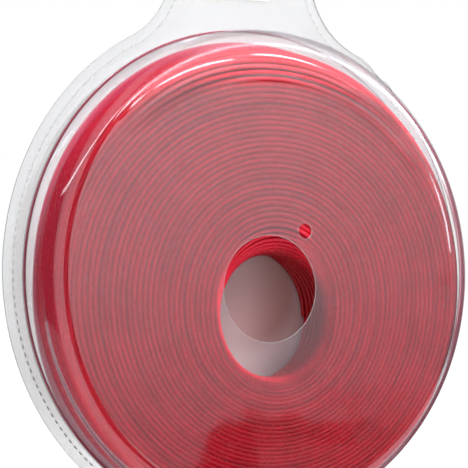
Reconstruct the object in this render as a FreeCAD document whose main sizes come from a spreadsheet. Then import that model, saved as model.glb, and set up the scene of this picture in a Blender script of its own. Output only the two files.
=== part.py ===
import FreeCAD
import Part
import Sketcher
import math
import os

# A flat round clear pack with a hang tab, and the coil of thick red line that it holds.
# +Z is up and the front faces -Y. The origin is where the peg bears in the hang slot.
# Inside the pieces' own frames the axis of the round flange is the Y axis.

doc = FreeCAD.newDocument("LinePack")
sheet = doc.addObject("Spreadsheet::Sheet", "Sheet")

sizes = [
    ("flangeRadius", 120.0, "outer edge of the round flange"),
    ("wall", 0.5, "thickness of both clear sheets"),
    ("seamInset", 4.4, "weld seam, measured in from the outer edge"),
    ("seamLand", 1.5, "from the middle of the weld seam to the dome's wall, where that is least"),
    ("dashPitch", 3.6, "distance from one weld bar to the next"),
    ("dashLength", 1.9, "length of a weld bar"),
    ("dashWidth", 0.5, "width of a weld bar"),
    ("dashHeight", 0.2, "height of a weld bar above the flange"),
    ("domeDraft", 0.9, "how much smaller the dome's radius is at its front"),
    ("domeDepth", 24.0, "front face of the dome, from the parting plane"),
    ("domeCorner", 9.0, "outer radius round the dome's front edge"),
    ("domeFoot", 1.0, "radius where the dome meets the flange"),
    ("domeSide", 1.5, "how far the dome's axis lies to the right of the flange's"),
    ("domeDrop", 1.7, "how far the dome's axis lies below the flange's"),
    ("windowRadius", 24.0, "round hole in the middle of the front"),
    ("windowSide", -2.3, "sideways place of that hole"),
    ("windowDrop", 8.0, "how far that hole lies below the flange's axis"),
    ("lineHoleRadius", 3.6, "small hole that the line is drawn through"),
    ("lineHoleLand", 4.5, "sheet left between the round hole and the small one"),
    ("lineHoleAngle", 53.9, "degrees from the right to the small hole, about the round one"),
    ("tabHalfWidth", 37.0, "half the width of the hang tab"),
    ("tabMargin", 15.3, "sheet above the crown of the hang slot"),
    ("tabCorner", 12.0, "radius of the tab's upper corners"),
    ("tabStraight", 2.9, "straight side of the tab between its corner and its hollow flare"),
    ("slotRise", 5.2, "lower edge of the hang slot above the round flange's top"),
    ("slotLength", 32.0, "hang slot from end to end"),
    ("slotHeight", 8.0, "height of the slot's wings"),
    ("slotCrown", 5.5, "radius of the round crown in the slot's upper edge"),
    ("earProud", 1.3, "how far the ears stand out of the flange's edge"),
    ("upperEarLength", 15.3, "length of the upper ear along the edge"),
    ("upperEarAngle", 56.0, "degrees from the right to the upper ear"),
    ("lowerEarLength", 8.8, "length of the lower ear along the edge"),
    ("lowerEarAngle", 47.8, "degrees from the right to the lower ear"),
    ("lineDiameter", 2.0, "diameter of the line"),
    ("loopGap", 0.405, "least gap between neighbouring loops of the front layer"),
    ("layerGap", 0.1, "gap between the front layer and the core"),
    ("runningGap", 0.3, "gap between the coil and the shells"),
    ("coilSlack", 3.6, "how much smaller the coil's radius is than the room for it in the dome"),
    ("coilCorner", 8.6, "radius round the coil's front edge"),
    ("coilBackCorner", 3.0, "radius round the coil's back edge"),
    ("boreRadius", 33.8, "bore of the coil at its front"),
    ("boreDrop", 17.0, "how far the bore lies below the flange's axis at its front"),
    ("boreBackRadius", 28.3, "bore of the coil at its back"),
    ("boreBackDrop", 20.7, "how far the bore lies below the flange's axis at its back"),
    ("boreSide", 2.0, "sideways place of the bore"),
    ("outerLoopInset", 3.8, "top of the outermost front loop, in from where the coil's edge turns back"),
]
for row, (alias, value, meaning) in enumerate(sizes, start=1):
    sheet.set("A%d" % row, alias)
    sheet.set("B%d" % row, str(value))
    sheet.set("C%d" % row, meaning)
    sheet.setAlias("B%d" % row, alias)
doc.recompute()

# Sizes that follow from those in the sheet.
slotFloor = "(Sheet.flangeRadius + Sheet.slotRise)"
slotRoof = "(%s + Sheet.slotHeight)" % slotFloor
hangHeight = "(%s + Sheet.slotCrown)" % slotRoof
tabTop = "(%s + Sheet.tabMargin)" % hangHeight
flareTop = "(%s - Sheet.tabCorner - Sheet.tabStraight)" % tabTop

# An arc that meets the tab's side at flareTop and the round flange's edge, tangent to both.
tabFlare = ("((%s ^ 2 - Sheet.flangeRadius ^ 2 + Sheet.tabHalfWidth ^ 2)"
            " / (2 * (Sheet.flangeRadius - Sheet.tabHalfWidth)))" % flareTop)

domeShift = "sqrt(Sheet.domeSide ^ 2 + Sheet.domeDrop ^ 2)"
domeRadius = "(Sheet.flangeRadius - Sheet.seamInset - Sheet.seamLand - %s)" % domeShift
domeRoom = "(%s - Sheet.domeDraft - Sheet.wall)" % domeRadius
lineHoleReach = "(Sheet.windowRadius + Sheet.lineHoleLand + Sheet.lineHoleRadius)"
lineHoleSide = "(Sheet.windowSide + %s * cos(Sheet.lineHoleAngle * 1deg))" % lineHoleReach
lineHoleRise = "(%s * sin(Sheet.lineHoleAngle * 1deg) - Sheet.windowDrop)" % lineHoleReach

# The coil rests on the bottom of the dome, the running gap above its inner wall.
coilRadius = "(%s - Sheet.runningGap - Sheet.coilSlack)" % domeRoom
coilDrop = "(Sheet.domeDrop + Sheet.coilSlack)"
turnsDepth = "(Sheet.domeDepth - Sheet.wall - Sheet.runningGap - Sheet.lineDiameter / 2)"
coreFront = "(%s - Sheet.lineDiameter / 2 - Sheet.layerGap)" % turnsDepth

almost = 0.499       # share of a slot's height that its end radius takes, so that a flat is left
closeEnough = 0.001  # mm, for telling one edge from another
leastCut = 0.1       # mm3, below which a pocket counts as having missed


def value(expression):
    """The number that an expression on the sheet has now."""
    return float(sheet.evalExpression(expression))


def size(alias):
    """The plain number in one cell of the sheet."""
    return value("Sheet." + alias)


def bind(feature, **links):
    """Ties properties of a feature to expressions on the sheet."""
    for name, expression in links.items():
        feature.setExpression(name, expression)


def makeBody(name):
    """An empty body whose own Z = 0 is the flange's axis."""
    body = doc.addObject("PartDesign::Body", name)
    body.Label = name
    bind(body, **{".Placement.Base.z": "-" + hangHeight})
    return body


def frontPlane(body):
    """The body's XZ plane, whose normal points out of the pack's front."""
    return [f for f in body.Origin.OriginFeatures if f.Role == "XZ_Plane"][0]


def newSketch(body, name):
    """An empty sketch on the parting plane: its x is X and its y is Z."""
    sketch = body.newObject("Sketcher::SketchObject", name)
    sketch.AttachmentSupport = [(frontPlane(body), "")]
    sketch.MapMode = "FlatFace"
    return sketch


def addCircle(sketch, radius, x="0", z="0"):
    """A circle whose radius and centre follow three expressions."""
    centre = FreeCAD.Vector(1, 1, 0)
    circle = sketch.addGeometry(Part.Circle(centre, FreeCAD.Vector(0, 0, 1), 1), False)
    number = sketch.addConstraint(Sketcher.Constraint("Radius", circle, 1.0))
    sketch.setExpression("Constraints[%d]" % number, radius)
    for kind, expression, axis in (("DistanceX", x, -2), ("DistanceY", z, -1)):
        if expression == "0":
            sketch.addConstraint(Sketcher.Constraint("PointOnObject", circle, 3, axis))
        else:
            number = sketch.addConstraint(Sketcher.Constraint(kind, -1, 1, circle, 3, 1.0))
            sketch.setExpression("Constraints[%d]" % number, expression)


def addRectangle(sketch, halfWidth, bottom, top):
    """A rectangle about the middle line, between expressions for its lower and upper edge."""
    start = [(-2.0, 1.0), (2.0, 1.0), (2.0, 3.0), (-2.0, 3.0)]
    corners = [FreeCAD.Vector(x, z, 0) for x, z in start]
    for k in range(4):
        sketch.addGeometry(Part.LineSegment(corners[k], corners[(k + 1) % 4]), False)
    for k in range(4):
        sketch.addConstraint(Sketcher.Constraint("Coincident", k, 2, (k + 1) % 4, 1))
    for k in (0, 2):
        sketch.addConstraint(Sketcher.Constraint("Horizontal", k))
        sketch.addConstraint(Sketcher.Constraint("Vertical", k + 1))
    low, high = start[0], start[2]
    for kind, corner, place, expression in (("DistanceX", 0, low[0], "-" + halfWidth),
                                            ("DistanceX", 2, high[0], halfWidth),
                                            ("DistanceY", 0, low[1], bottom),
                                            ("DistanceY", 2, high[1], top)):
        number = sketch.addConstraint(Sketcher.Constraint(kind, -1, 1, corner, 1, place))
        sketch.setExpression("Constraints[%d]" % number, expression)


def padSketch(body, sketch, backwards=False):
    """Thickens a sketch to the sheet's wall, to the front or to the back of the parting plane."""
    pad = body.newObject("PartDesign::Pad", sketch.Name + "Pad")
    pad.Profile = sketch
    pad.Reversed = backwards
    bind(pad, Length="Sheet.wall")
    doc.recompute()


def pocketSketch(body, sketch):
    """Cuts a sketch right through the body, both ways."""
    before = body.Shape.Volume
    pocket = body.newObject("PartDesign::Pocket", sketch.Name + "Pocket")
    pocket.Profile = sketch
    pocket.Type = "ThroughAll"
    pocket.Midplane = True
    doc.recompute()
    if body.Shape.Volume > before - leastCut:
        raise RuntimeError("pocket %s cut nothing" % pocket.Name)


def roundEdges(body, name, radius, chosen):
    """Rounds the body's edges for which chosen(edge) is true."""
    tip = body.Tip
    names = ["Edge%d" % (k + 1) for k, edge in enumerate(tip.Shape.Edges) if chosen(edge)]
    if not names:
        raise RuntimeError("no edge to round for " + name)
    fillet = body.newObject("PartDesign::Fillet", name)
    fillet.Base = (tip, names)
    bind(fillet, Radius=radius)
    doc.recompute()


def isCrossEdge(side, low, high):
    """A chooser of straight edges along Y, at one distance from the middle, between two heights."""
    def chosen(edge):
        if edge.Curve.TypeId != "Part::GeomLine":
            return False
        along = edge.tangentAt(edge.FirstParameter)
        if abs(abs(along.y) - 1) > closeEnough:
            return False
        point = edge.CenterOfMass
        return abs(abs(point.x) - side) < closeEnough and low < point.z < high
    return chosen


def isRing(radius, depth):
    """A chooser of round edges about Y with one radius at one depth in front of the parting plane."""
    def chosen(edge):
        if edge.Curve.TypeId != "Part::GeomCircle":
            return False
        return abs(edge.Curve.Radius - radius) < closeEnough and abs(edge.Curve.Center.y + depth) < closeEnough
    return chosen


def cone(body, name, back, front, height, drop, depth="0"):
    """A cone along Y, as far to the right as the dome's axis and with a drop of its own, added to the body."""
    shape = body.newObject("PartDesign::AdditiveCone", name)
    shape.AttachmentSupport = [(frontPlane(body), "")]
    shape.MapMode = "FlatFace"
    bind(shape, Radius1=back, Radius2=front, Height=height)
    bind(shape, **{".AttachmentOffset.Base.x": "Sheet.domeSide",
                   ".AttachmentOffset.Base.y": "-(" + drop + ")",
                   ".AttachmentOffset.Base.z": depth})
    doc.recompute()


def sheetOutline(body, backwards):
    """The flat sheet that both shells start from: round flange, hang tab and hollow flares."""
    flange = newSketch(body, body.Name + "Flange")
    addCircle(flange, "Sheet.flangeRadius")
    padSketch(body, flange, backwards)
    tab = newSketch(body, body.Name + "Tab")
    addRectangle(tab, "Sheet.tabHalfWidth", "0.5 * Sheet.flangeRadius", tabTop)
    padSketch(body, tab, backwards)
    half = size("tabHalfWidth")
    shoulder = value(flareTop)
    roundEdges(body, body.Name + "Flare", tabFlare, isCrossEdge(half, 0, shoulder))
    roundEdges(body, body.Name + "TabCorner", "Sheet.tabCorner", isCrossEdge(half, shoulder, 2 * shoulder))


def hangSlot(body):
    """The slot for a peg: a wide slot with round ends and a round crown in its upper edge."""
    wings = newSketch(body, body.Name + "Slot")
    addRectangle(wings, "0.5 * Sheet.slotLength", slotFloor, slotRoof)
    pocketSketch(body, wings)
    ends = isCrossEdge(size("slotLength") / 2, value(slotFloor) - closeEnough, value(slotRoof) + closeEnough)
    roundEdges(body, body.Name + "SlotEnds", "%s * Sheet.slotHeight" % almost, ends)
    crown = newSketch(body, body.Name + "SlotCrown")
    addCircle(crown, "Sheet.slotCrown", "0", slotRoof)
    pocketSketch(body, crown)


def roundedDrum(body, name, inset="0"):
    """The dome as a solid drum, a little narrower and rounded at its front, or set in by an expression."""
    radius = "(%s - %s)" % (domeRadius, inset)
    front = "(%s - Sheet.domeDraft)" % radius
    depth = "(Sheet.domeDepth - %s)" % inset
    cone(body, name, radius, front, depth, "Sheet.domeDrop")
    roundEdges(body, name + "Corner", "Sheet.domeCorner - " + inset, isRing(value(front), value(depth)))


def frontShell():
    """The clear front: sheet, dome, corner radius, window and the hole for the line."""
    hollow = doc.addObject("PartDesign::Body", "dome_cavity")
    roundedDrum(hollow, "Cavity", "Sheet.wall")
    body = makeBody("front_shell")
    sheetOutline(body, False)
    roundedDrum(body, "Dome")
    outer = value(domeRadius)
    wall = size("wall")
    foot = outer - size("domeDraft") * wall / size("domeDepth")
    roundEdges(body, "DomeFoot", "Sheet.domeFoot", isRing(foot, wall))
    cut = body.newObject("PartDesign::Boolean", "DomeHollow")
    cut.Type = "Cut"
    cut.setObjects([hollow])
    doc.recompute()
    roundEdges(body, "CavityFoot", "Sheet.domeFoot + Sheet.wall", isRing(outer - wall, 0))
    window = newSketch(body, "Window")
    addCircle(window, "Sheet.windowRadius", "Sheet.windowSide", "-Sheet.windowDrop")
    pocketSketch(body, window)
    hole = newSketch(body, "LineHole")
    addCircle(hole, "Sheet.lineHoleRadius", lineHoleSide, lineHoleRise)
    pocketSketch(body, hole)
    hangSlot(body)
    return body


def ear(body, name, length, angle):
    """A low round bump on the flange's edge: the part of a larger disc that stands out of it."""
    radius = "(%s ^ 2 / (8 * Sheet.earProud) + Sheet.earProud / 2)" % length
    reach = "(Sheet.flangeRadius + Sheet.earProud - %s)" % radius
    sketch = newSketch(body, name)
    addCircle(sketch, radius, "%s * cos(%s * 1deg)" % (reach, angle), "%s * sin(%s * 1deg)" % (reach, angle))
    padSketch(body, sketch, True)


def backShell():
    """The clear back: a flat sheet of the same outline, with two ears on its edge."""
    body = makeBody("back_shell")
    sheetOutline(body, True)
    ear(body, "UpperEar", "Sheet.upperEarLength", "Sheet.upperEarAngle")
    ear(body, "LowerEar", "Sheet.lowerEarLength", "Sheet.lowerEarAngle")
    hangSlot(body)
    return body


def coilCore():
    """The wound line behind the front layer: a thick ring with a funnel-shaped bore."""
    body = makeBody("coil_core")
    depth = "(%s - Sheet.runningGap)" % coreFront
    cone(body, "CoreRing", coilRadius, coilRadius, depth, coilDrop, "Sheet.runningGap")
    radius = value(coilRadius)
    roundEdges(body, "CoreFrontCorner", "Sheet.coilCorner", isRing(radius, value(coreFront)))
    roundEdges(body, "CoreBackCorner", "Sheet.coilBackCorner", isRing(radius, size("runningGap")))
    back = boreRim(body, "BoreBack", "Sheet.boreBackRadius", "Sheet.boreBackDrop", "Sheet.runningGap")
    front = boreRim(body, "BoreFront", "Sheet.boreRadius", "Sheet.boreDrop", coreFront)
    bore = body.newObject("PartDesign::SubtractiveLoft", "Bore")
    bore.Profile = back
    bore.Sections = [front]
    bore.Ruled = True
    doc.recompute()
    return body


def boreRim(body, name, radius, drop, depth):
    """One rim of the bore as a circle, at a depth in front of the parting plane."""
    sketch = newSketch(body, name)
    bind(sketch, **{".AttachmentOffset.Base.z": depth})
    addCircle(sketch, radius, "Sheet.boreSide", "-" + drop)
    doc.recompute()
    return sketch


def halfTurn(middle, start, end, side, y):
    """Half a loop between two heights on the coil's middle line, by the left (-1) or the right (1)."""
    far = middle + side * abs(start - end) / 2
    points = [FreeCAD.Vector(x, y, z) for x, z in ((middle, start), (far, (start + end) / 2), (middle, end))]
    return Part.Arc(*points).toShape()


def coilTurns():
    """The front layer: one unbroken line that winds outwards in half turns on one plane.

    Its first loop lies round the bore. Below the bore the loops are packed down to where the dome's
    corner begins, and above it they are spread up to the coil's own edge.
    """
    line = size("lineDiameter")
    y = -value(turnsDepth)
    middle = size("boreSide")
    firstTop = size("boreRadius") - size("boreDrop") + line / 2
    firstBottom = -(size("boreRadius") + size("boreDrop") + line / 2)
    lastTop = value(coilRadius) - value(coilDrop) - size("coilCorner") - size("outerLoopInset") - line / 2
    lastBottom = -(value(domeRadius) - size("domeDraft") - size("domeCorner") + size("domeDrop"))
    room = firstBottom - lastBottom
    steps = int(room / (line + size("loopGap")))
    tightPitch = room / steps
    loops = steps + 1
    loosePitch = (lastTop - firstTop) / loops
    lineStart = FreeCAD.Vector(middle + line, y, firstTop)
    lineEnd = FreeCAD.Vector(middle - line, y, lastTop)
    edges = [Part.LineSegment(lineStart, FreeCAD.Vector(middle, y, firstTop)).toShape()]
    for k in range(loops):
        top = firstTop + k * loosePitch
        bottom = firstBottom - k * tightPitch
        edges.append(halfTurn(middle, top, bottom, -1, y))
        edges.append(halfTurn(middle, bottom, top + loosePitch, 1, y))
    edges.append(Part.LineSegment(FreeCAD.Vector(middle, y, lastTop), lineEnd).toShape())
    path = Part.Wire(edges)
    ring = Part.Circle(lineStart, FreeCAD.Vector(1, 0, 0), line / 2)
    tube = path.makePipeShell([Part.Wire([ring.toShape()])], True, False)
    solid = Part.Solid(tube) if tube.ShapeType == "Shell" else tube
    feature = placedShape("coil_turns", solid)
    expected = math.pi * line ** 2 / 4 * path.Length
    print("coil_turns %d loops, length %.0f mm" % (loops, path.Length))
    print("coil_turns volume %.0f of %.0f mm3" % (solid.Volume, expected))
    print("coil_turns least gap to itself %.3f mm" % leastGap(edges[1:-1], line))
    return feature


def leastGap(halves, line):
    """The least distance between one loop and the next, measured on points, less the line itself."""
    pointsPerHalf = 25
    rows = [half.discretize(pointsPerHalf) for half in halves]
    gaps = []
    for row, nextRow in zip(rows, rows[2:]):
        for point in row:
            gaps.append(min(point.distanceToPoint(other) for other in nextRow))
    return min(gaps) - line


def placedShape(name, shape):
    """A finished shape as a named piece, set in the same place as the bodies."""
    feature = doc.addObject("Part::Feature", name)
    feature.Label = name
    feature.Shape = shape
    feature.Placement = FreeCAD.Placement(FreeCAD.Vector(0, 0, -value(hangHeight)), FreeCAD.Rotation())
    return feature


def weldSeam(shell):
    """Short weld bars on the flange, spaced evenly along a line inside the sheet's outer edge."""
    wire = sheetFace(shell).makeOffset2D(-size("seamInset")).Wires[0]
    count = int(wire.Length / size("dashPitch"))
    points = wire.discretize(Number=count + 1)[:-1]
    long, wide, high = size("dashLength"), size("dashWidth"), size("dashHeight")
    bars = []
    for k, point in enumerate(points):
        step = points[(k + 1) % count] - points[k - 1]
        bar = Part.makeBox(long, high, wide, FreeCAD.Vector(-long / 2, -high, -wide / 2))
        turn = math.degrees(math.atan2(-step.z, step.x))
        bar.rotate(FreeCAD.Vector(0, 0, 0), FreeCAD.Vector(0, 1, 0), turn)
        bar.translate(FreeCAD.Vector(point.x, -size("wall"), point.z))
        bars.append(bar)
    print("weld_seam %d bars" % len(bars))
    return placedShape("weld_seam", Part.makeCompound(bars))


def sheetFace(shell):
    """The front sheet without its dome and slot, as a face on the parting plane."""
    tip = [f for f in shell.Group if f.Name == shell.Name + "TabCorner"][0]
    faces = [f for f in tip.Shape.Faces if abs(f.CenterOfMass.y) < closeEnough]
    return Part.Face(faces[0].OuterWire)


front = frontShell()
parts = [front, backShell(), coilCore(), coilTurns(), weldSeam(front)]
doc.recompute()

for item in doc.Objects:
    if "Invalid" in item.State or "Error" in item.State:
        raise RuntimeError("%s failed: %s" % (item.Name, item.State))
for part in parts:
    if part.Shape.isNull() or not part.Shape.isValid():
        raise RuntimeError("bad shape: " + part.Label)

os.makedirs("parts", exist_ok=True)
for part in parts:
    print("%-12s solids %d, volume %.0f mm3" % (part.Label, len(part.Shape.Solids), part.Shape.Volume))
    part.Shape.exportStep("parts/%s.step" % part.Label)
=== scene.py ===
import math

import bpy
import numpy as np
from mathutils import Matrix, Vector


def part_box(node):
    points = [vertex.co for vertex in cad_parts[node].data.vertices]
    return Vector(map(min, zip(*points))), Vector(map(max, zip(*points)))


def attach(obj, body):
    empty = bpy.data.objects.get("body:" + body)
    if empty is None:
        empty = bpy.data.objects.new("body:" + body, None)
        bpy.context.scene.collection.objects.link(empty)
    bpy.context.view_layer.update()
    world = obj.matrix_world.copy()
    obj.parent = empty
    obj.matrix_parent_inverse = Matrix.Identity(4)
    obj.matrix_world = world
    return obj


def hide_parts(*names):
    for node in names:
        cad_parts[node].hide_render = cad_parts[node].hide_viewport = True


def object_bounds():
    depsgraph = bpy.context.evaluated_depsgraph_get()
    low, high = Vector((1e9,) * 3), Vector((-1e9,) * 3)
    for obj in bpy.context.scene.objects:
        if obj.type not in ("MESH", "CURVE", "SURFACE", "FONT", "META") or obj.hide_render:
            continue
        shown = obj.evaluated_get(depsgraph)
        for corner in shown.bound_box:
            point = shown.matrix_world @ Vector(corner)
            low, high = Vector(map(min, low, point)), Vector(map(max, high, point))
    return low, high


# A flat round clear hang pack with a coil of thick red line in it.
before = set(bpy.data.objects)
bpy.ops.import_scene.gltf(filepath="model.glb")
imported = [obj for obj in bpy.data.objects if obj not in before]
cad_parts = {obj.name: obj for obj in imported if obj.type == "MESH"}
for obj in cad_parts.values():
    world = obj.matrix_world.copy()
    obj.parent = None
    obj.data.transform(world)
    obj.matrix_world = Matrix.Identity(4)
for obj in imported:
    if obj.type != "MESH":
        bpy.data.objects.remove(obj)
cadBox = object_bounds()

# Shapes are worked out in millimetres about the axis of the round flange: x to the right, z up,
# and depth from the parting plane of the two sheets out to the front.
mm = 0.001
frontLow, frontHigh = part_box("front_shell")
backLow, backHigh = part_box("back_shell")
flangeRadius = (frontHigh.x - frontLow.x) / 2 / mm
flangeHeight = frontLow.z / mm + flangeRadius
domeDepth = -frontLow.y / mm
tabTop = frontHigh.z / mm - flangeHeight
sheetWall = backHigh.y / mm
fullTurn = 2 * math.pi


def inFrame(x, depth, z):
    # Millimetres about the flange's axis to metres in the frame.
    x, depth, z = np.broadcast_arrays(x, depth, z)
    return np.stack([x, -depth, z + flangeHeight], axis=-1) * mm


# Mesh tools

def gridFaces(rows, columns, closeRows=False, closeColumns=False):
    # Quads between neighbouring lines of a grid; a closed direction also joins its last line to its first.
    rowStarts = np.arange(rows if closeRows else rows - 1)
    columnStarts = np.arange(columns if closeColumns else columns - 1)
    r, c = np.meshgrid(rowStarts, columnStarts, indexing="ij")
    nextR, nextC = (r + 1) % rows, (c + 1) % columns
    corners = [(r, c), (r, nextC), (nextR, nextC), (nextR, c)]
    return np.stack([a * columns + b for a, b in corners], axis=-1).reshape(-1, 4)


def fanFaces(pole, ring):
    # Triangles from one point to each pair of neighbours in a closed ring.
    return np.stack([np.full(len(ring), pole), ring, np.roll(ring, -1)], axis=-1)


def newPiece(name, points, quads, triangles=(), smooth=True):
    quads = np.asarray(quads, np.int32).reshape(-1, 4)
    triangles = np.asarray(triangles, np.int32).reshape(-1, 3)
    corners = np.concatenate([quads.ravel(), triangles.ravel()])
    starts = np.concatenate([np.arange(len(quads)) * 4, quads.size + np.arange(len(triangles)) * 3])
    mesh = bpy.data.meshes.new(name)
    mesh.vertices.add(len(points))
    mesh.vertices.foreach_set("co", np.ravel(points).astype(np.float32))
    mesh.loops.add(len(corners))
    mesh.loops.foreach_set("vertex_index", corners)
    mesh.polygons.add(len(starts))
    mesh.polygons.foreach_set("loop_start", starts.astype(np.int32))
    mesh.polygons.foreach_set("use_smooth", np.full(len(starts), smooth))
    mesh.update(calc_edges=True)
    piece = bpy.data.objects.new(name, mesh)
    bpy.context.scene.collection.objects.link(piece)
    return piece


def tube(name, path, radius, sides):
    # A round section carried along a path: a ring's point at angle a is path + radius * (cos a * side +
    # sin a * up). side is square to the path and to the front-back axis, up is square to side and the path,
    # and each end is a half ball.
    along = np.gradient(path, axis=0)
    along /= np.linalg.norm(along, axis=1, keepdims=True)
    side = np.cross(along, (0, 1, 0))
    side /= np.linalg.norm(side, axis=1, keepdims=True)
    up = np.cross(along, side)
    capAngle = np.radians([30, 60])     # from the pole of an end's half ball
    reach = np.concatenate([-np.cos(capAngle), np.zeros(len(path)), np.cos(capAngle)[::-1]]) * radius
    width = np.concatenate([np.sin(capAngle), np.ones(len(path)), np.sin(capAngle)[::-1]]) * radius
    station = np.clip(np.arange(len(reach)) - len(capAngle), 0, len(path) - 1)
    centre = path[station] + along[station] * reach[:, None]
    turn = np.arange(sides) * fullTurn / sides
    ring = np.cos(turn)[:, None] * side[station][:, None] + np.sin(turn)[:, None] * up[station][:, None]
    points = (centre[:, None] + ring * width[:, None, None]).reshape(-1, 3)
    poles = [path[0] - along[0] * radius, path[-1] + along[-1] * radius]
    first, last = np.arange(sides), np.arange(sides) + len(points) - sides
    caps = np.concatenate([fanFaces(len(points), first[::-1]), fanFaces(len(points) + 1, last)])
    return newPiece(name, np.vstack([points, poles]), gridFaces(len(reach), sides, closeColumns=True), caps)


def settle(piece):
    # The piece keeps the mesh that its modifiers make, and the modifiers go.
    depsgraph = bpy.context.evaluated_depsgraph_get()
    made = bpy.data.meshes.new_from_object(piece.evaluated_get(depsgraph))
    piece.modifiers.clear()
    old, piece.data = piece.data, made
    bpy.data.meshes.remove(old)


# Shader tools

class Link:
    # One node output. Operators on it add Math nodes, with numbers or other outputs on either side.
    def __init__(self, graph, output):
        self.graph, self.output = graph, output

    def maths(self, operation, first, second=0.0):
        return self.graph.node("ShaderNodeMath", {"operation": operation}, {0: first, 1: second})

    def __add__(self, other):
        return self.maths("ADD", self, other)

    __radd__ = __add__

    def __sub__(self, other):
        return self.maths("SUBTRACT", self, other)

    def __rsub__(self, other):
        return self.maths("SUBTRACT", other, self)

    def __mul__(self, other):
        return self.maths("MULTIPLY", self, other)

    __rmul__ = __mul__

    def __pow__(self, other):
        return self.maths("POWER", self, other)

    def __neg__(self):
        return self.maths("MULTIPLY", self, -1.0)

    def __abs__(self):
        return self.maths("ABSOLUTE", self)

    def atLeast(self, other):
        return self.maths("MAXIMUM", self, other)

    def atMost(self, other):
        return self.maths("MINIMUM", self, other)

    def step(self, low, high):
        # A smooth rise from 0 at low to 1 at high.
        settings = {"interpolation_type": "SMOOTHSTEP"}
        sockets = {"Value": self, "From Min": low, "From Max": high}
        return self.graph.node("ShaderNodeMapRange", settings, sockets)


class Graph:
    def __init__(self, owner):
        owner.use_nodes = True
        self.tree = owner.node_tree
        self.tree.nodes.clear()

    def node(self, kind, settings=None, inputs=None, output=0):
        made = self.tree.nodes.new(kind)
        for name, setting in (settings or {}).items():
            setattr(made, name, setting)
        for name, value in (inputs or {}).items():
            if isinstance(value, Link):
                self.tree.links.new(value.output, made.inputs[name])
            else:
                made.inputs[name].default_value = value
        return Link(self, made.outputs[output]) if made.outputs else None

    def outputs(self, kind, names, inputs=None):
        # Several outputs of one node.
        made = self.node(kind, inputs=inputs).output.node
        return [Link(self, made.outputs[name]) for name in names]

    def colourMix(self, share, first, second):
        # The colours of a Mix node are its inputs 6 and 7 and its output 2.
        sockets = {"Factor": share, 6: first, 7: second}
        return self.node("ShaderNodeMix", {"data_type": "RGBA"}, sockets, 2)

    def noise(self, scale, detail=2.0, roughness=0.5):
        place = self.node("ShaderNodeTexCoord", output="Object")
        sockets = {"Vector": place, "Scale": scale, "Detail": detail, "Roughness": roughness}
        return self.node("ShaderNodeTexNoise", inputs=sockets)

    def bump(self, height, strength, distance):
        sockets = {"Height": height, "Strength": strength, "Distance": distance}
        return self.node("ShaderNodeBump", inputs=sockets)


def newMaterial(name, make, *settings):
    # A material whose one Principled shader gets the sockets that make works out on the graph.
    material = bpy.data.materials.new(name)
    graph = Graph(material)
    shader = graph.node("ShaderNodeBsdfPrincipled", inputs=make(graph, *settings))
    graph.node("ShaderNodeOutputMaterial", inputs={"Surface": shader})
    return material


def paint(piece, *materials):
    for material in materials:
        piece.data.materials.append(material)


def dress(piece, node, body):
    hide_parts(node)
    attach(piece, body)


# The two sheets

outline = {
    "tabHalfWidth": 37.0,
    "tabCorner": 12.0,
    "tabStraight": 2.9,
    "arcPoints": (400, 100, 60),           # of the flange, the flare and the corner, before even spacing
    "points": 640,
    "earProud": 1.3,
    "earWithin": 0.2,                      # radians from its place in which an ear ends
    "ears": ((56.0, 15.3), (47.8, 8.8)),   # place in degrees from the right, length along the edge
}
slotShape = {"floor": 5.2, "length": 32.0, "height": 8.0, "crown": 5.5, "points": 24}
dome = {
    "side": 1.5,
    "drop": 1.7,
    "radius": 111.8,
    "foot": 1.0,
    "draft": 0.9,
    "corner": 9.0,
    "windowRadius": 24.0,
    "windowSide": -2.3,
    "windowDrop": 8.0,
    "lineHoleRadius": 3.6,
    "lineHoleLand": 4.5,
    "lineHoleAngle": 53.9,
    "lineHolePoints": 48,
    "rippled": 17.0,       # how far in from its corner the front is not quite flat
    "ringPitch": 0.4,      # between the rings of that part
}

# Low ripples left in the front by its forming. Each: how far in from the corner its crest lies and how much
# further in for each degree, the middle of it in degrees from the right, how many degrees it reaches either
# way, the width of its outer flank, its height.
ripples = (
    (5.2, -0.062, 83.0, 22.0, 2.4, 0.246),
    (8.1, -0.083, 109.0, 31.0, 2.4, 0.252),
    (13.6, 0.0, 86.0, 19.0, 2.0, 0.204),
    (8.9, 0.0, 71.5, 12.0, 1.8, 0.193),
    (11.5, 0.107, 51.0, 19.0, 2.0, 0.255),
    (6.9, 0.0, 58.5, 9.0, 1.8, 0.212),
    (3.25, -0.136, 117.5, 22.5, 2.0, 0.227),
    (5.6, 0.0, 20.0, 24.0, 3.2, 0.40),
)
rippleLee = 3.0            # how much wider the inner flank of a ripple is than its outer one
sheetGap = 0.05            # air between the front sheet and the back sheet
cutterPast = 5             # how far a cutter stands out of the pack on either side
sharpFrom = 40             # degrees between two faces from which their edge shades sharp


def arc(centreX, centreZ, radius, start, end, count):
    angle = np.radians(np.linspace(start, end, count))
    return np.stack([centreX + radius * np.cos(angle), centreZ + radius * np.sin(angle)], axis=-1)


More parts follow.
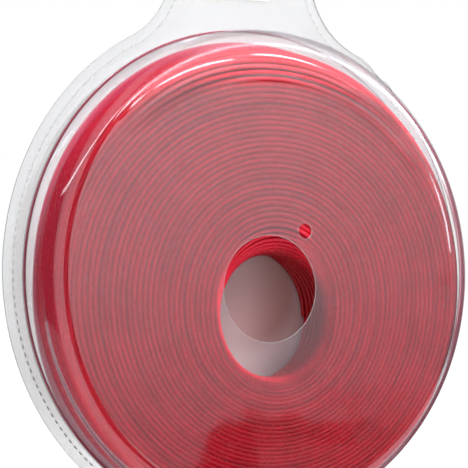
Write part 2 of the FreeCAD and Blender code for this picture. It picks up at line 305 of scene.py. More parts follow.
def sheetOutline():
    # Half of the outline is the round flange's arc, the hollow flare's arc, which meets it and the tab's side
    # at a tangent, the side and the tab's corner. The other half is its mirror image. Its points are evenly
    # spaced.
    half, corner = outline["tabHalfWidth"], outline["tabCorner"]
    flangePoints, flarePoints, cornerPoints = outline["arcPoints"]
    shoulder = tabTop - corner - outline["tabStraight"]
    flare = (shoulder ** 2 - flangeRadius ** 2 + half ** 2) / (2 * (flangeRadius - half))
    meet = math.degrees(math.atan2(shoulder, half + flare))
    right = np.concatenate([
        arc(0, 0, flangeRadius, -90, meet, flangePoints),
        arc(half + flare, shoulder, flare, 180 + meet, 180, flarePoints)[1:],
        arc(half - corner, tabTop - corner, corner, 0, 90, cornerPoints),
    ])
    left = right[::-1] * (-1, 1)
    loop = np.concatenate([right, left])
    gone = np.concatenate([[0], np.cumsum(np.linalg.norm(np.diff(loop, axis=0), axis=1))])
    even = np.linspace(0, gone[-1], outline["points"], endpoint=False)
    return np.stack([np.interp(even, gone, loop[:, axis]) for axis in (0, 1)], axis=-1)


def withEars(loop):
    # Each ear is the part of a larger disc that stands out of the flange: its edge is at that disc's reach.
    angle = np.arctan2(loop[:, 1], loop[:, 0])
    reach = np.hypot(loop[:, 0], loop[:, 1])
    for place, length in outline["ears"]:
        radius = length ** 2 / (8 * outline["earProud"]) + outline["earProud"] / 2
        centre = flangeRadius + outline["earProud"] - radius
        off = angle - math.radians(place)
        inside = np.clip(radius ** 2 - (centre * np.sin(off)) ** 2, 0, None)
        edge = np.where(np.abs(off) < outline["earWithin"], centre * np.cos(off) + np.sqrt(inside), 0)
        reach = np.maximum(reach, edge)
    return np.stack([reach * np.cos(angle), reach * np.sin(angle)], axis=-1)


def ringLoops(loop, radius, side, drop):
    # A circle whose points lie in the same directions as the outline's, seen from the flange's axis.
    angle = np.arctan2(loop[:, 1], loop[:, 0])
    return np.stack([side + radius * np.cos(angle), radius * np.sin(angle) - drop], axis=-1)


def cutter(name, loop, low, high):
    # A straight block with this outline, from one depth to another, to cut a hole with. It has as many
    # materials as a sheet, and its faces, which become the hole's edge, have the third.
    count = len(loop)
    points = np.concatenate([inFrame(loop[:, 0], depth, loop[:, 1]) for depth in (low, high)])
    sides = gridFaces(2, count, closeColumns=True)
    middle = loop.mean(axis=0)
    poles = np.stack([inFrame(middle[0], depth, middle[1]) for depth in (low, high)])
    rim = np.arange(count)
    caps = np.concatenate([fanFaces(2 * count, rim[::-1]), fanFaces(2 * count + 1, rim + count)])
    block = newPiece(name, np.vstack([points, poles]), sides, caps, smooth=False)
    paint(block, clearSheet, sheetEdge, holeRim)
    block.data.polygons.foreach_set("material_index", np.full(len(block.data.polygons), 2))
    return block


def hangSlot():
    # The slot's two round ends and the round crown in its upper edge, as one outline.
    low = flangeRadius + slotShape["floor"]
    end, crown = slotShape["height"] / 2, slotShape["crown"]
    reach, count = slotShape["length"] / 2 - end, slotShape["points"]
    return np.concatenate([
        arc(reach, low + end, end, -90, 90, count),
        arc(0, low + 2 * end, crown, 0, 180, count),
        arc(-reach, low + end, end, 90, 270, count),
    ])


def lineHolePlace():
    # How far to the right and how far down its middle lies.
    reach = dome["windowRadius"] + dome["lineHoleLand"] + dome["lineHoleRadius"]
    angle = math.radians(dome["lineHoleAngle"])
    return dome["windowSide"] + reach * math.cos(angle), dome["windowDrop"] - reach * math.sin(angle)


def lineHole():
    side, drop = lineHolePlace()
    return arc(side, -drop, dome["lineHoleRadius"], 0, 360, dome["lineHolePoints"] + 1)[:-1]


def finishSheet(piece, wall, holes):
    # The sheet's thickness grows inwards, its rims get the edge's material, and the holes are cut through it.
    thick = piece.modifiers.new("thick", "SOLIDIFY")
    thick.thickness = wall * mm
    thick.offset = -1
    thick.use_even_offset = True
    thick.material_offset_rim = 1
    settle(piece)
    for number, loop in enumerate(holes):
        block = cutter("cutter%d" % number, loop, -cutterPast, domeDepth + cutterPast)
        cut = piece.modifiers.new("cut", "BOOLEAN")
        cut.operation, cut.solver, cut.object = "DIFFERENCE", "EXACT", block
        settle(piece)
        bpy.data.objects.remove(block)
    piece.data.set_sharp_from_angle(angle=math.radians(sharpFrom))


def rippled(angle, inset):
    # How far the front stands out: each ripple is a raised cosine across, wider on its inner flank, and fades
    # with the fourth power along.
    proud = np.zeros_like(angle)
    for crest, slant, middle, reach, half, height in ripples:
        off = np.degrees(angle) - middle
        inward = inset - crest - slant * off
        lee = np.minimum(half * rippleLee, dome["rippled"] - dome["ringPitch"] - crest - slant * off)
        across = np.clip(inward / np.where(inward > 0, lee, half), -1, 1)
        proud += height * (1 - np.clip(off / reach, -1, 1) ** 4) * (1 + np.cos(across * math.pi)) / 2
    return proud


def frontRings(loop):
    # The dome's outer face as (outline, depth) from the sheet's edge in to the window: flat flange, hollow
    # foot, wall, round front corner, the rippled part of the front, and the rest, which runs on to the
    # window's circle.
    footTop = sheetWall + dome["foot"]
    cornerRadius = dome["radius"] - dome["draft"] - dome["corner"]
    wallTop = domeDepth - dome["corner"]
    angle = np.arctan2(loop[:, 1], loop[:, 0])

    def domeRing(radius, depth):
        return ringLoops(loop, radius, dome["side"], dome["drop"]), depth

    footRing = domeRing(dome["radius"] + dome["foot"], sheetWall)[0]
    rings = [(loop + (footRing - loop) * share, sheetWall) for share in np.linspace(0, 1, 4)]
    for turn in np.radians(np.linspace(18, 90, 5)):     # the foot
        rings.append(domeRing(dome["radius"] + dome["foot"] * (1 - math.sin(turn)),
                              footTop - dome["foot"] * math.cos(turn)))
    for share in np.linspace(0.25, 1, 4):     # the wall
        rings.append(domeRing(dome["radius"] - dome["draft"] * share, footTop + (wallTop - footTop) * share))
    for turn in np.radians(np.linspace(7, 90, 13)):     # the corner
        rings.append(domeRing(cornerRadius + dome["corner"] * math.cos(turn),
                              wallTop + dome["corner"] * math.sin(turn)))
    for inset in np.arange(dome["ringPitch"], dome["rippled"], dome["ringPitch"]):
        rings.append(domeRing(cornerRadius - inset, domeDepth + rippled(angle, inset)))
    outer = domeRing(cornerRadius - dome["rippled"], domeDepth)[0]
    window = ringLoops(loop, dome["windowRadius"], dome["windowSide"], dome["windowDrop"])
    rings += [(outer + (window - outer) * share, domeDepth) for share in np.linspace(0, 1, 6)]
    return rings


def makeFront():
    loop = sheetOutline()
    rings = frontRings(loop)
    points = np.stack([inFrame(ring[:, 0], depth, ring[:, 1]) for ring, depth in rings])
    quads = gridFaces(len(rings), len(loop), closeColumns=True)
    piece = newPiece("frontSheet", points.reshape(-1, 3), quads)
    paint(piece, clearSheet, sheetEdge, holeRim)
    finishSheet(piece, sheetWall - sheetGap, [hangSlot(), lineHole()])
    dress(piece, "front_shell", "pack")


def makeBack():
    # Rings that shrink from the outline to a point in the middle, with a last small fan round it.
    loop = withEars(sheetOutline())
    shares = np.linspace(1, 0.04, 14)
    points = np.concatenate([inFrame(loop[:, 0] * share, 0, loop[:, 1] * share) for share in shares])
    centre = inFrame(0, 0, 0)
    last = np.arange(len(loop)) + len(points) - len(loop)
    quads = gridFaces(len(shares), len(loop), closeColumns=True)
    piece = newPiece("backSheet", np.vstack([points, centre]), quads, fanFaces(len(points), last))
    paint(piece, milkySheet, sheetEdge, holeRim)
    finishSheet(piece, sheetWall, [hangSlot()])
    dress(piece, "back_shell", "pack")


# The coil

line = {"diameter": 2.0, "sides": 10, "steps": 168}     # sides of its section, steps in a turn
coil = {
    "side": 1.5,
    "drop": 5.3,
    "rimReach": 105.4,     # centre of the line in the outermost turns, from the coil's axis
    "rimSlope": 0.075,     # how much further out they lie for each millimetre nearer the back
    "rimShort": 0.1,       # how far short of the back layer they end
    "frontDepth": 22.2,    # centre of the line in the front layer
    "cornerDepth": 14.7,   # where the round corner goes over into the rim
    "backDepth": 1.35,
    "backIn": 1.4,         # how far in from the outermost turns the back layer starts
    "backShort": 2.0,      # and how far short of the bore it ends
    "boreIn": 0.1,         # how far into the coil the bore's turns lie
    "boreShort": 0.6,      # and how far short of the front and back layers they end
    "layerStep": 0.95,     # how far the second layer lies under the first
}
turns = {"front": 27, "corner": 13, "bore": 13, "back": 34}
drifts = {                 # which random waves, and how strong they are in millimetres
    "frontOut": (3, 0.11),
    "frontDown": (11, 0.09),
    "corner": (5, 0.10),
    "bore": (8, 0.10),
    "back": (21, 0.06),
}
frontOval = {"side": 2.1, "drop": 9.4, "wide": 101.1, "high": 94.9}
boreOval = {"side": 2.4, "drop": 17.0, "wide": 32.3, "high": 37.3}
boreMiddleOval = {"side": 6.0, "drop": 20.0, "wide": 29.2, "high": 29.2}
boreBackOval = {"side": 0.2, "drop": 20.7, "wide": 28.3, "high": 30.3}


def oval(shape, angle, inset=0.0):
    return (shape["side"] + (shape["wide"] - inset) * np.cos(angle),
            (shape["high"] - inset) * np.sin(angle) - shape["drop"])


def rimCircle(angle, reach):
    return coil["side"] + reach * np.cos(angle), reach * np.sin(angle) - coil["drop"]


def between(first, second, share):
    return tuple(a + (b - a) * share for a, b in zip(first, second))


def roomDepth(x, z):
    # How far forward the line's centre may lie, so that it clears the dome's front and corner as the coil
    # turns: on a circle round the corner's centre, and level inside it.
    reach = np.hypot(x - coil["side"], z + coil["drop"])
    cornerReach = dome["radius"] - dome["draft"] - dome["corner"] - (coil["drop"] - dome["drop"])
    bend = dome["corner"] - (domeDepth - coil["frontDepth"])
    past = np.clip(reach - cornerReach, 0, bend)
    return domeDepth - dome["corner"] + np.sqrt(bend ** 2 - past ** 2)


def drift(name, angle, layer=0):
    # A slow drift of the turns out of their place: a sum of waves, from none to five of them to a turn, each
    # a little out of step with the turn before.
    seed, strength = drifts[name]
    random = np.random.default_rng(seed + layer)
    total = np.zeros_like(angle)
    for waves in range(6):
        phase, slip = random.uniform(0, fullTurn), random.uniform(0.02, 0.09)
        total += np.sin((waves + slip) * angle + phase) / (1 + 0.6 * waves)
    return strength * total


def moved(x, z, off):
    # Moves a point out from the coil's axis.
    reach = np.hypot(x - coil["side"], z + coil["drop"])
    scale = (reach + off) / reach
    return coil["side"] + (x - coil["side"]) * scale, (z + coil["drop"]) * scale - coil["drop"]


def frontPlace(angle, share, layer):
    inner, outer = oval(boreOval, angle), oval(frontOval, angle)
    fading = np.sin(math.pi * share) ** 0.5     # none at the first and last turn
    x, z = moved(*between(inner, outer, share), drift("frontOut", angle, layer) * fading)
    depth = roomDepth(x, z) - layer * coil["layerStep"] - np.abs(drift("frontDown", angle, layer))
    return x, depth, z


def cornerPlace(angle, share, layer):
    # The section goes from the front's last turn round the corner, a quarter of an ellipse, and then straight
    # down the rim.
    edgeX, edgeZ = oval(frontOval, angle, layer * coil["layerStep"])
    rimX, rimZ = rimCircle(angle, coil["rimReach"] - layer * coil["layerStep"])
    edgeDepth = roomDepth(edgeX, edgeZ) - layer * coil["layerStep"]
    wide, high = np.hypot(rimX - edgeX, rimZ - edgeZ), edgeDepth - coil["cornerDepth"]
    bend = math.pi / 2 * np.sqrt((wide ** 2 + high ** 2) / 2)
    gone = share * (bend + coil["cornerDepth"] - coil["backDepth"] - coil["rimShort"])
    turn = np.clip(gone / bend, 0, 1) * math.pi / 2
    down = np.clip(gone - bend, 0, None)
    x, z = between((edgeX, edgeZ), (rimX, rimZ), np.sin(turn))
    x, z = moved(x, z, down * coil["rimSlope"] - np.abs(drift("corner", angle, layer)))
    return x, np.minimum(coil["cornerDepth"] + high * np.cos(turn) - down, roomDepth(x, z)), z


def boreSection(angle, share, inset=0.0):
    # Through three ovals, at the back, in the middle and at the front of the bore, along a parabola in share.
    ovals = [oval(shape, angle, inset) for shape in (boreBackOval, boreMiddleOval, boreOval)]
    weights = (1 - share) * (1 - 2 * share), 4 * share * (1 - share), share * (2 * share - 1)
    return tuple(sum(weight * place[axis] for weight, place in zip(weights, ovals)) for axis in (0, 1))


def borePlace(angle, share, layer):
    x, z = moved(*boreSection(angle, share), coil["boreIn"] + np.abs(drift("bore", angle)))
    long = coil["frontDepth"] - coil["backDepth"] - 2 * coil["boreShort"]
    depth = coil["backDepth"] + coil["boreShort"] + share * long
    return x, depth, z


def backPlace(angle, share, layer):
    outer = rimCircle(angle, coil["rimReach"] - coil["backIn"])
    inner = oval(boreBackOval, angle, -coil["backShort"])
    x, z = between(outer, inner, share)
    return x, coil["backDepth"] + np.abs(drift("back", angle)), z


def wind(name, node, place, count, finish, layer=0, sides=line["sides"], steps=line["steps"]):
    # A layer of line: the angle grows by a full circle a turn, and share goes from 0 to 1 over the layer.
    angle = np.linspace(0, fullTurn * count, count * steps + 1) + layer * math.pi
    share = np.linspace(0, 1, len(angle))
    x, depth, z = place(angle, share, layer)
    piece = tube(name, inFrame(x, depth, z), line["diameter"] / 2 * mm, sides)
    paint(piece, finish)
    dress(piece, node, "coil")


def makeHeart():
    # The body of the coil under its layers: one closed ring, whose section goes forward in the bore, out
    # along the front, round the corner, back down the rim and in along the back. Each point has its depth
    # beside it.
    angle = np.arange(180) * fullTurn / 180
    under = 2.4     # how far inside the layers' places it lies
    boreBack, boreMiddle, boreFront = (boreSection(angle, share, -under) for share in (0.0, 0.5, 0.9))
    front = between(oval(boreOval, angle, -under), oval(frontOval, angle, under), 0.5)
    edge = oval(frontOval, angle, under)
    rim = rimCircle(angle, coil["rimReach"] - under)
    section = [(boreBack, 3.2), (boreMiddle, 11.5), (boreFront, 18.6), (front, 19.8), (edge, 19.6),
               (between(edge, rim, 0.6), 17.6), (rim, 13.5), (rim, 4.4), (between(rim, boreBack, 0.03), 2.6)]
    points = np.stack([inFrame(x, depth, z) for (x, z), depth in section])
    quads = gridFaces(len(section), len(angle), closeRows=True, closeColumns=True)
    piece = newPiece("coilHeart", points.reshape(-1, 3), quads[:, ::-1])
    paint(piece, coilShade)
    dress(piece, "coil_core", "coil")


# Finishes

film = {
    "tint": (0.87, 0.92, 1.0, 1),
    "straight": 0.068,     # share of light that one face of the sheet sends back head on
    "glancing": 0.50,      # and how much more at a glancing angle
    "sharpness": 4.5,
    "roughness": 0.04,
    "specular": 0.2,
    "ripple": 0.03,        # strength, size and depth of the faint waves in its gloss
    "rippleScale": 38.0,
    "rippleDeep": 0.004,
    "paintedCoilReflection": (0.22, 0.004, 0.030, 1),   # painted reflection of the coil's red in the sheet's bends
    "paintedCoilReflectionShare": 0.8,
    "sideShare": 0.9,      # how much of it there is at the corner and the wall, where the foot has 1
    "pale": (0.95, 0.93, 0.93, 1),
    "paleShare": 0.3,
    "haze": 0.2,           # roughness added where the sheet is hazy
    "dimmedGloss": 0.65,       # share of its gloss taken away on the front half of the left wall, a painted dimmer reflection
}

# Where these lie on the sheet: the two ends of each soft step, in millimetres about the dome's axis.
filmSteps = {
    # The foot, the corner, the coil's reach, the glance and the right edge bound the painted reflection of
    # the coil's red.
    "footMiddle": 0.5,             # out from the wall
    "footOff": (0.6, 1.0),         # from its middle
    "footStart": (0.4, 0.6),       # depth
    "footEnd": (1.6, 2.4),
    "coilNear": (109.5, 110.5),    # from the coil's axis
    "corner": (14.0, 17.0),        # depth
    "glance": (0.36, 0.50),        # 0 head on, 1 along the sheet
    "glanceTop": (78.0, 96.0),     # height
    "rightReach": (102.4, 103.2),
    "rightSide": (85.0, 100.0),
    # where the gloss is turned down, a painted dimmer reflection:
    "dimGlossDepth": (7.5, 9.5),
    "dimGlossReach": (106.0, 109.0),
    "dimGlossSide": (-85.0, -60.0),
    "hazyHeight": (60.0, 90.0),
    "hazyReach": (100.5, 102.5),
    "palePast": (0.05, 0.35),      # out from a hole's edge
    "paleUnder": (-0.3, -0.2),     # out from the front
}


def reachFrom(graph, side, drop):
    # How far a point lies from a line along the front-back axis, and how far to the front, to the right and
    # up, in millimetres.
    place = graph.node("ShaderNodeTexCoord", output="Object")
    x, y, z = graph.outputs("ShaderNodeSeparateXYZ", "XYZ", {0: place})
    across, up = x * (1 / mm) - side, z * (1 / mm) - (flangeHeight - drop)
    return (across * across + up * up) ** 0.5, y * (-1 / mm), across, up


def pastHole(graph, radius, side, drop):
    # 0 close round a hole in the front and 1 further out.
    low, high = filmSteps["palePast"]
    return reachFrom(graph, side, drop)[0].step(radius + low, radius + high)


def filmSockets(graph):
    # The two faces of the clear sheet only mirror the room, a little head on and more at a glance. Painted on
    # top is the coil's red as the bends reflect it: at the dome's foot, at the edge of its front on the right
    # and, at a glance, on its corner all round but at the top, where the coil is near. A painted dimmer
    # reflection turns its gloss down on the front half of its left wall. The sheet is hazy along the top of
    # its corner and pale close round its holes.
    at = filmSteps
    glance = graph.node("ShaderNodeLayerWeight", inputs={"Blend": 0.5}, output="Facing")
    ripple = graph.noise(film["rippleScale"], 1.0)
    reach, depth, across, up = reachFrom(graph, dome["side"], dome["drop"])
    # foot, slanted and onRight: where the coil's red is painted on as its reflection in the bends
    foot = 1 - abs(reach - (dome["radius"] + at["footMiddle"])).step(*at["footOff"])
    foot = foot * (1 - depth.step(*at["footEnd"])) * depth.step(*at["footStart"])
    corner = depth.step(*at["corner"])
    nearCoil = 1 - reachFrom(graph, coil["side"], coil["drop"])[0].step(*at["coilNear"])
    slanted = corner * glance.step(*at["glance"]) * nearCoil * (1 - up.step(*at["glanceTop"]))
    onRight = corner * reach.step(*at["rightReach"]) * across.step(*at["rightSide"]) * nearCoil
    red = foot.atLeast(film["sideShare"] * slanted.atLeast(onRight))
    # clear: where the gloss is turned down, a painted dimmer reflection of a darker part of the room
    onLeft = 1 - across.step(*at["dimGlossSide"])
    clear = depth.step(*at["dimGlossDepth"]) * reach.step(*at["dimGlossReach"]) * onLeft
    hazy = up.step(*at["hazyHeight"]) * reach.step(*at["hazyReach"]) * corner
    pale = 1 - pastHole(graph, dome["windowRadius"], dome["windowSide"], dome["windowDrop"]) \
        * pastHole(graph, dome["lineHoleRadius"], *lineHolePlace())
    pale = pale * depth.step(*(domeDepth + off for off in at["paleUnder"]))
    dull = red.atLeast(pale)
    colour = graph.colourMix(red, film["tint"], film["paintedCoilReflection"])
    gloss = film["straight"] + film["glancing"] * glance ** film["sharpness"] * (1 - dull)
    gloss = gloss * (1 - film["dimmedGloss"] * clear)
    return {
        "Base Color": graph.colourMix(pale, colour, film["pale"]),
        "Metallic": 1 - dull,
        "Specular IOR Level": film["specular"],
        "Roughness": film["roughness"] + film["haze"] * hazy,
        "Alpha": gloss + film["paintedCoilReflectionShare"] * red + film["paleShare"] * pale,
        "Normal": graph.bump(ripple, film["ripple"], film["rippleDeep"]),
    }


cutEdges = {
    # The outer edge of a clear sheet gathers grey, and the punched edge of a hole is pale.
    "outer": {"speck": 300.0, "dark": (0.24, 0.26, 0.27, 1), "light": (0.36, 0.38, 0.39, 1),
              "roughness": 0.25, "share": 0.8},
    "hole": {"speck": 400.0, "dark": (0.62, 0.62, 0.64, 1), "light": (0.90, 0.90, 0.91, 1),
             "roughness": 0.2, "share": 0.65},
}


def edgeSockets(graph, edge):
    return {
        "Base Color": graph.colourMix(graph.noise(edge["speck"]), edge["dark"], edge["light"]),
        "Roughness": edge["roughness"],
        "Alpha": edge["share"],
    }


milky = {
    "dark": (0.57, 0.58, 0.58, 1),
    "light": (0.64, 0.65, 0.65, 1),
    # painted red bounce light from the coil, under the dome
    "paintedCoilBounce": (0.80, 0.68, 0.72, 1),
    # in the bore: painted shade and red bounce light, darker to the right, where the bore's right wall shades
    # it
    "inBore": (0.68, 0.46, 0.47, 1),
    "paintedBoreShadowRight": (0.36, 0.19, 0.18, 1),
    # below the window: painted lighter, where light falls into the bore from above
    "paintedLowBoreLight": (0.76, 0.64, 0.64, 1),
    "paintedLowBoreLightRight": (0.52, 0.38, 0.39, 1),
    "mirrored": (0.72, 0.03, 0.11, 1),     # the rim of the coil as the sheet beside it mirrors it
    "mirrors": ((2.0, 107.0), (8.5, 107.5)),   # drop and radius of two circles that bound it
    "mirrorSoft": 0.8,
    "mirrorShare": 0.8,
    "share": 0.29,         # share of light that one face of the back sheet stops
    "boreShare": 0.95,
    "cloudScale": 22.0,
    "roughness": 0.32,
    "cloudRoughness": 0.1,
    "boreEdge": (31.0, 34.0),      # from the bore's axis
    "boreSide": (-12.0, 18.0),     # from its left to its right
    "lowEdge": (23.0, 34.0),       # from the window's axis
    "domeEdge": (-1.0, 0.5),       # out from the dome's wall
}


def backSockets(graph):
    # The back sheet is milky, with faint clouds. Painted red bounce light from the coil lies on it under the
    # dome and in the bore; in the bore painted shade darkens it more to the right, and it is painted lighter
    # low in the bore. It mirrors the coil's rim close beside it, a painted reflection.
    cloud = graph.noise(milky["cloudScale"], 3.0)
    boreReach, _, across, _ = reachFrom(graph, boreBackOval["side"], boreBackOval["drop"])
    bore = 1 - boreReach.step(*milky["boreEdge"])
    right = across.step(*milky["boreSide"])
    low = reachFrom(graph, dome["windowSide"], dome["windowDrop"])[0].step(*milky["lowEdge"])
    domeEdge = (dome["radius"] + off for off in milky["domeEdge"])
    inDome = 1 - reachFrom(graph, dome["side"], dome["drop"])[0].step(*domeEdge)
    clear = 1 - bore
    for drop, radius in milky["mirrors"]:
        clear = clear * reachFrom(graph, coil["side"], drop)[0].step(radius, radius + milky["mirrorSoft"])
    mirror = (1 - clear) * (1 - bore)
    plain = graph.colourMix(cloud, milky["dark"], milky["light"])
    underDome = graph.colourMix(inDome, plain, milky["paintedCoilBounce"])
    dressed = graph.colourMix(mirror, underDome, milky["mirrored"])
    upper = graph.colourMix(right, milky["inBore"], milky["paintedBoreShadowRight"])
    lower = graph.colourMix(right, milky["paintedLowBoreLight"], milky["paintedLowBoreLightRight"])
    # the bore's painted shade is made nearly opaque, so that the white behind does not show through it
    more = (milky["boreShare"] - milky["share"]) * bore.atLeast(milky["mirrorShare"] * mirror)
    return {
        "Base Color": graph.colourMix(bore, dressed, graph.colourMix(low, upper, lower)),
        "Roughness": milky["roughness"] + milky["cloudRoughness"] * cloud,
        "Alpha": milky["share"] + more,
    }


redLine = {
    "deep": (0.73, 0.014, 0.042, 1),
    "bright": (0.95, 0.018, 0.056, 1),
    # painted shade: a darker crimson on the turns behind the front
    "rim": (0.56, 0.006, 0.036, 1),
    "rimShadeEnds": (15.0, 20.0),       # depths between which it goes over into the front's colour
    # painted shade deep in the bore
    "inBore": (0.30, 0.005, 0.010, 1),
    "boreEnds": (9.0, 17.0),
    # darker red of what shows between the turns, painted shade
    "heart": ((0.50, 0.008, 0.020, 1), (0.60, 0.010, 0.026, 1)),
    "heartScale": 80.0,
    "shadeScale": 60.0,
    "turnScale": 0.3,      # waves of shade in a millimetre from turn to turn
    "roughness": 0.2,
    "fineScale": 900.0,
    "fineRoughness": 0.12,
    "fineBump": (0.05, 0.0002),
    "specular": 0.3,
    "boreSpecular": 0.25,
    "glow": 0.3,           # share of the light that goes some way through the line
    "glowRadius": (1.0, 0.12, 0.10),
    "glowScale": 0.0006,
}


def lineFinish(graph):
    # What the line's finishes share: fine unevenness of its gloss.
    fine = graph.noise(redLine["fineScale"], 2.0)
    return {
        "Roughness": redLine["roughness"] + redLine["fineRoughness"] * fine,
        "Normal": graph.bump(fine, *redLine["fineBump"]),
    }


def lineSockets(graph):
    # Deep red line, a little lighter and darker along its length and from turn to turn, and a darker crimson
    # behind the front, which is painted shade.
    shade = graph.noise(redLine["shadeScale"], 3.0)
    reach, depth = reachFrom(graph, boreOval["side"], (boreOval["drop"] + frontOval["drop"]) / 2)[:2]
    sockets = {"W": reach * redLine["turnScale"], "Scale": 1.0, "Detail": 3.0}
    turn = graph.node("ShaderNodeTexNoise", {"noise_dimensions": "1D"}, sockets)
    front = graph.colourMix((0.4 * shade + 0.6 * turn).step(0.34, 0.62), redLine["deep"], redLine["bright"])
    return lineFinish(graph) | {
        "Base Color": graph.colourMix(depth.step(*redLine["rimShadeEnds"]), redLine["rim"], front),
        "Specular IOR Level": redLine["specular"],
        "Subsurface Weight": redLine["glow"],
        "Subsurface Radius": redLine["glowRadius"],
        "Subsurface Scale": redLine["glowScale"],
    }


def boreSockets(graph):
    # The turns in the bore are darker further in: painted shade.
    inward = 1 - reachFrom(graph, boreOval["side"], boreOval["drop"])[1].step(*redLine["boreEnds"])
    share = graph.noise(redLine["shadeScale"], 3.0).step(0.3, 0.7)
    shade = graph.colourMix(share, redLine["deep"], redLine["bright"])
    return lineFinish(graph) | {
        "Base Color": graph.colourMix(inward, shade, redLine["inBore"]),
        "Specular IOR Level": redLine["boreSpecular"],
    }


def heartSockets(graph):
    # What shows between the turns, deeper in the coil, in a darker red that is painted shade.
    shade = graph.noise(redLine["heartScale"])
    return {"Base Color": graph.colourMix(shade, *redLine["heart"]), "Roughness": 0.5}


weld = {
    "dark": (0.18, 0.21, 0.20, 1),
    "light": (0.30, 0.33, 0.32, 1),
    "faded": (0.58, 0.60, 0.60, 1),
    "fade": (-0.20, -0.12),        # heights in the frame between which the grey fades, in metres
    "speckScale": 700.0,
    "roughness": 0.3,
    "speckRoughness": 0.2,
}


def weldSockets(graph):
    # The weld marks are clear grey low down and fade towards the top of the pack.
    speck = graph.noise(weld["speckScale"])
    place = graph.node("ShaderNodeTexCoord", output="Object")
    height = graph.node("ShaderNodeSeparateXYZ", inputs={0: place}, output="Z")
    grey = graph.colourMix(speck, weld["dark"], weld["light"])
    return {
        "Base Color": graph.colourMix(height.step(*weld["fade"]), grey, weld["faded"]),
        "Roughness": weld["roughness"] + weld["speckRoughness"] * speck,
    }


clearSheet = newMaterial("clearSheet", filmSockets)
sheetEdge = newMaterial("sheetEdge", edgeSockets, cutEdges["outer"])
holeRim = newMaterial("holeRim", edgeSockets, cutEdges["hole"])
milkySheet = newMaterial("milkySheet", backSockets)
redTurns = newMaterial("redTurns", lineSockets)
redBore = newMaterial("redBore", boreSockets)
coilShade = newMaterial("coilShade", heartSockets)
weldGrey = newMaterial("weldGrey", weldSockets)
print("finishes made")

makeFront()
makeBack()
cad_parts["weld_seam"].data.materials.clear()
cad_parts["weld_seam"].data.materials.append(weldGrey)
print("sheets made")

wind("turnsFront", "coil_turns", frontPlace, turns["front"], redTurns)
# the front's under layer gets coilShade's darker red, painted shade in the gaps between turns
wind("turnsUnderFront", "coil_turns", frontPlace, turns["front"], coilShade, layer=1, sides=8)
wind("turnsCorner", "coil_core", cornerPlace, turns["corner"], redTurns)
wind("turnsUnderCorner", "coil_core", cornerPlace, turns["corner"], redTurns, layer=1, sides=8)
wind("turnsBore", "coil_core", borePlace, turns["bore"], redBore, sides=8)
wind("turnsBack", "coil_core", backPlace, turns["back"], redTurns, sides=6, steps=120)
makeHeart()
print("coil wound")

# Floor, light and camera

view = {
    "azimuth": 30.5,       # degrees from straight in front, to the left
    "roll": 0.9,           # degrees, the pack leans to the left in the picture
    "distance": 0.720,
    "lens": 120.15,
    "sensor": 36.0,
    "shift": (-0.0288, 0.0799),
}

# What gloss sees of the room. Directions are in degrees from straight in front, to the left, and a third
# number is how soft their ends are. Heights are the upward part of a direction of length 1.
studio = {
    "room": 0.21,          # light from all round on dull surfaces
    "dim": 0.06,           # the room between the panels
    "right": (-75, -21, 1.5),
    "rightPanel": 1.00,    # brightness at the height of the pack
    "panelAbove": 3.1,     # how much it grows upwards
    "panelBelow": 4.6,     # and falls downwards
    "panelHeights": (-0.125, 0.35),    # beyond these it stays as it is
    "outerSide": (24, 38),     # where the panel gets a little darker
    "outerDark": 0.15,
    "underHeights": (-0.15, -0.13),    # under these the panel is plain white and has no dark patches
    "left": (5, 57, 3.0),
    "leftPanel": 0.85,
    "wall": 1.0,           # behind the pack
    "wallSide": (148, 154),
    "wallHeights": (-0.30, -0.15),
    "bench": 0.7,
    "benchSide": (52, 56),
    "benchHeights": (-0.445, -0.425),  # on the left, and it rises a little further round
    "benchRise": 0.0017,
    "floorHeights": (-0.5, -0.4),
}

# Lamps that gloss sees: directions, heights of the lower end, heights of the upper end, brightness.
brightLamps = (
    ((-78, -10, 3.0), (0.33, 0.35), (0.43, 0.45), 10.0),         # long, above
    ((-4, 80, 3.0), (0.475, 0.485), (0.505, 0.515), 8.0),        # thin, above to the left
    ((-66, -57, 1.0), (-0.16, -0.06), (0.26, 0.34), 8.0),        # tall, to the right
)

# Dark patches in the right panel: a round one, a small one beside it and the low part of the panel behind it.
darks = {
    "round": (-30.75, -26.5, 0.2),
    "roundTop": (-0.094, -0.088),
    "roundFrom": -30.3,    # from here its top falls with the square of the direction
    "roundFall": 0.0083,
    "small": (-34.2, -30.6, 0.8),
    "smallHeight": -0.102,
    "smallOff": (0.006, 0.014),
    "smallShare": 0.85,
    "lowSide": (30.6, 31.2),
    "lowTop": (-0.115, -0.07),
    "lowShare": 0.6,
}


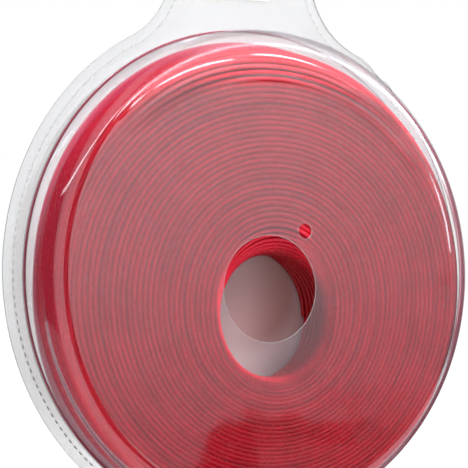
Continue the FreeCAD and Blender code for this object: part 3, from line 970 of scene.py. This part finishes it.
def makeWorld():
    # The room gives even light. Gloss sees a broad panel in front to the right, one to the left, a bright
    # wall behind the pack, the lamps and the bench below; the camera sees plain white.
    world = bpy.data.worlds.new("studio")
    bpy.context.scene.world = world
    graph = Graph(world)
    way = graph.node("ShaderNodeTexCoord", output="Generated")
    x, y, z = graph.outputs("ShaderNodeSeparateXYZ", "XYZ", {0: way})
    around = x.maths("ARCTAN2", -x, -y) * math.degrees(1)     # degrees from straight in front, to the left

    def span(low, high, soft):
        # 1 between two directions, with soft ends.
        return 1 - abs(around - (low + high) / 2).step((high - low) / 2, (high - low) / 2 + soft)

    lowest, highest = studio["panelHeights"]
    above = z.atLeast(0.0).atMost(highest) * studio["panelAbove"]
    below = z.atMost(0.0).atLeast(lowest) * studio["panelBelow"]
    outer = 1 - studio["outerDark"] * (-around).step(*studio["outerSide"])
    under = 1 - z.step(*studio["underHeights"])
    benchEdge = z - studio["benchRise"] * around
    parts = [
        span(*studio["right"]) * (studio["rightPanel"] + above + below) * outer,
        span(*studio["right"]) * under,
        span(*studio["left"]) * studio["leftPanel"],
        abs(around).step(*studio["wallSide"]) * z.step(*studio["wallHeights"]) * studio["wall"],
        around.step(*studio["benchSide"]) * (1 - benchEdge.step(*studio["benchHeights"])) * studio["bench"],
        (1 - z.step(*studio["floorHeights"])) * studio["bench"],
    ]
    for directions, start, end, brightness in brightLamps:
        parts.append(span(*directions) * z.step(*start) * (1 - z.step(*end)) * brightness)
    gloss = studio["dim"]
    for part in parts:
        gloss = part.atLeast(gloss)

    past = (around - darks["roundFrom"]).atLeast(0.0)
    fallen = z + darks["roundFall"] * past * past
    roundDark = span(*darks["round"]) * (1 - fallen.step(*darks["roundTop"]))
    smallDark = span(*darks["small"]) * (1 - abs(z - darks["smallHeight"]).step(*darks["smallOff"]))
    lowDark = (-around).step(*darks["lowSide"]) * (1 - z.step(*darks["lowTop"]))
    dark = roundDark.atLeast(smallDark * darks["smallShare"]).atLeast(lowDark * darks["lowShare"])
    gloss = gloss * (1 - dark * z.step(*studio["underHeights"]))

    rayKinds = ("Is Camera Ray", "Is Glossy Ray", "Is Transmission Ray")
    camera, glossy, through = graph.outputs("ShaderNodeLightPath", rayKinds)
    white = camera.atLeast(through)
    strength = studio["room"] * (1 - white) * (1 - glossy) + white + glossy * gloss * (1 - white)
    back = graph.node("ShaderNodeBackground", inputs={"Color": (1, 1, 1, 1), "Strength": strength})
    graph.node("ShaderNodeOutputWorld", inputs={"Surface": back})


lamps = {
    # Place, size and power.
    "overhead": ((-0.10, -0.35, 0.75), (0.9, 0.25), 3.5),
    "rightLamp": ((0.30, -0.45, 0.78), (0.5, 0.5), 16.0),
    "leftLamp": ((-0.85, -0.80, 0.60), (0.6, 0.9), 2.8),
    "backLamp": ((0.30, 1.00, 0.40), (0.8, 0.6), 5.0),
}


def areaLamp(name, place, size, watts):
    # A lamp that faces the middle of the pack. Gloss sees the lamps in the room's own picture instead.
    target = (0, 0, flangeHeight * mm)
    lamp = bpy.data.lights.new(name, "AREA")
    lamp.shape = "RECTANGLE"
    lamp.size, lamp.size_y = size
    lamp.energy = watts
    thing = bpy.data.objects.new(name, lamp)
    thing.location = place
    thing.rotation_euler = (Vector(target) - Vector(place)).to_track_quat("-Z", "Y").to_euler()
    thing.visible_camera = thing.visible_glossy = False
    bpy.context.scene.collection.objects.link(thing)


ground = {
    "half": 6.0,           # half the side of the square
    "colour": (0.62, 0.62, 0.63, 1),
    "fade": (0.3, 1.0),    # how far off the camera starts to see plain white, and where it sees nothing else
    "glow": 0.5,           # brightness that the camera sees close to the pack, besides the lit colour
    "roughness": 0.9,
}


def makeFloor():
    # Only the camera sees the floor glow, so that it gives the pack no light.
    half, height = ground["half"], cadBox[0][2]
    corners = [(-half, -half), (half, -half), (half, half), (-half, half)]
    points = np.array([(x, y, height) for x, y in corners])
    floor = newPiece("floor", points, [(0, 1, 2, 3)], smooth=False)
    material = bpy.data.materials.new("paleFloor")
    graph = Graph(material)
    camera = graph.node("ShaderNodeLightPath", output="Is Camera Ray")
    place = graph.node("ShaderNodeTexCoord", output="Object")
    away = graph.node("ShaderNodeVectorMath", {"operation": "LENGTH"}, {0: place}, "Value")
    far = away.step(*ground["fade"])
    black, white = (0, 0, 0, 1), (1, 1, 1, 1)
    glow = camera * (ground["glow"] + (1 - ground["glow"]) * far)
    shader = graph.node("ShaderNodeBsdfPrincipled", inputs={
        "Base Color": graph.colourMix(camera * far, ground["colour"], black),
        "Roughness": ground["roughness"],
        "Emission Color": graph.colourMix(glow, black, white),
        "Emission Strength": 1.0,
    })
    graph.node("ShaderNodeOutputMaterial", inputs={"Surface": shader})
    floor.data.materials.append(material)
    floor.visible_glossy = False


def makeCamera():
    turn, distance = math.radians(view["azimuth"]), view["distance"]
    camera = bpy.data.cameras.new("camera")
    camera.lens, camera.sensor_width = view["lens"], view["sensor"]
    camera.shift_x, camera.shift_y = view["shift"]
    thing = bpy.data.objects.new("camera", camera)
    thing.location = (-distance * math.sin(turn), -distance * math.cos(turn), flangeHeight * mm)
    thing.rotation_euler = (math.pi / 2, math.radians(view["roll"]), -turn)
    bpy.context.scene.collection.objects.link(thing)
    bpy.context.scene.camera = thing


makeWorld()
makeFloor()
for lampName, lampSettings in lamps.items():
    areaLamp(lampName, *lampSettings)
makeCamera()
bpy.context.scene.view_settings.view_transform = "Standard"
bpy.context.scene.cycles.transparent_max_bounces = 24
print("studio made")

bpy.context.view_layer.update()
